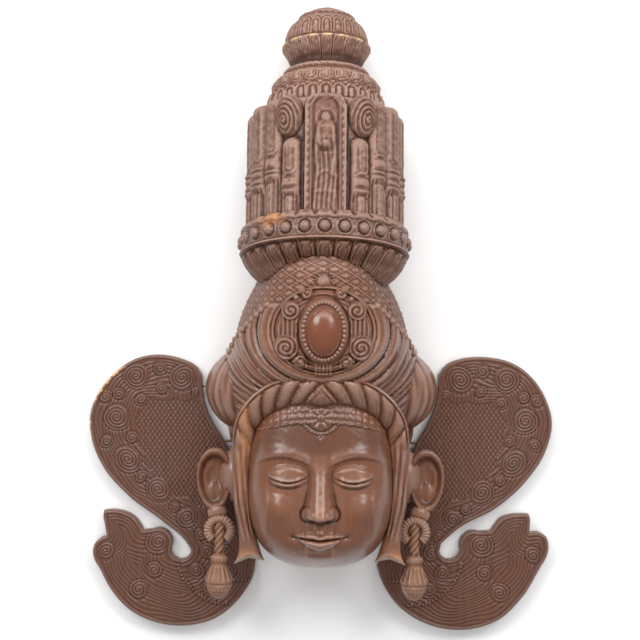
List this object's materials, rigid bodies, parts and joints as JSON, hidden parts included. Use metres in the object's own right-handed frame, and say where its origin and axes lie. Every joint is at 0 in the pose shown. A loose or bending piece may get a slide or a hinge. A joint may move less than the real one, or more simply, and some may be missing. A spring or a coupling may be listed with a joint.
{
  "type": "carved wooden deity mask",
  "caption": "Carved wooden mask of a crowned deity with a calm face, tall columned crown, medallion, long earrings and scrolled side wings tied on with brass wire; lies on its flat back",
  "frame": {"origin": "on the flat back of the block, at the middle of the mask's length and width", "axes": "+Z out of the face, +Y towards the top of the crown, +X to the right of someone facing the mask; the mask lies on its back on z = 0"},
  "size_m": [0.4582, 0.6124, 0.1614],
  "materials": {
    "carved_wood": "waxed brown stain, dusty in the crown, worn orange on high edges",
    "wing_wood": "dark brown stain, dull, chipped pale at the rim",
    "brass_wire": "tarnished drawn wire"
  },
  "bodies": {
    "root": {"mask_head": "carved_wood", "left_wing": "wing_wood", "right_wing": "wing_wood", "left_upper_tie": "brass_wire", "left_lower_tie": "brass_wire", "right_upper_tie": "brass_wire", "right_lower_tie": "brass_wire"}
  },
  "joints": []
}
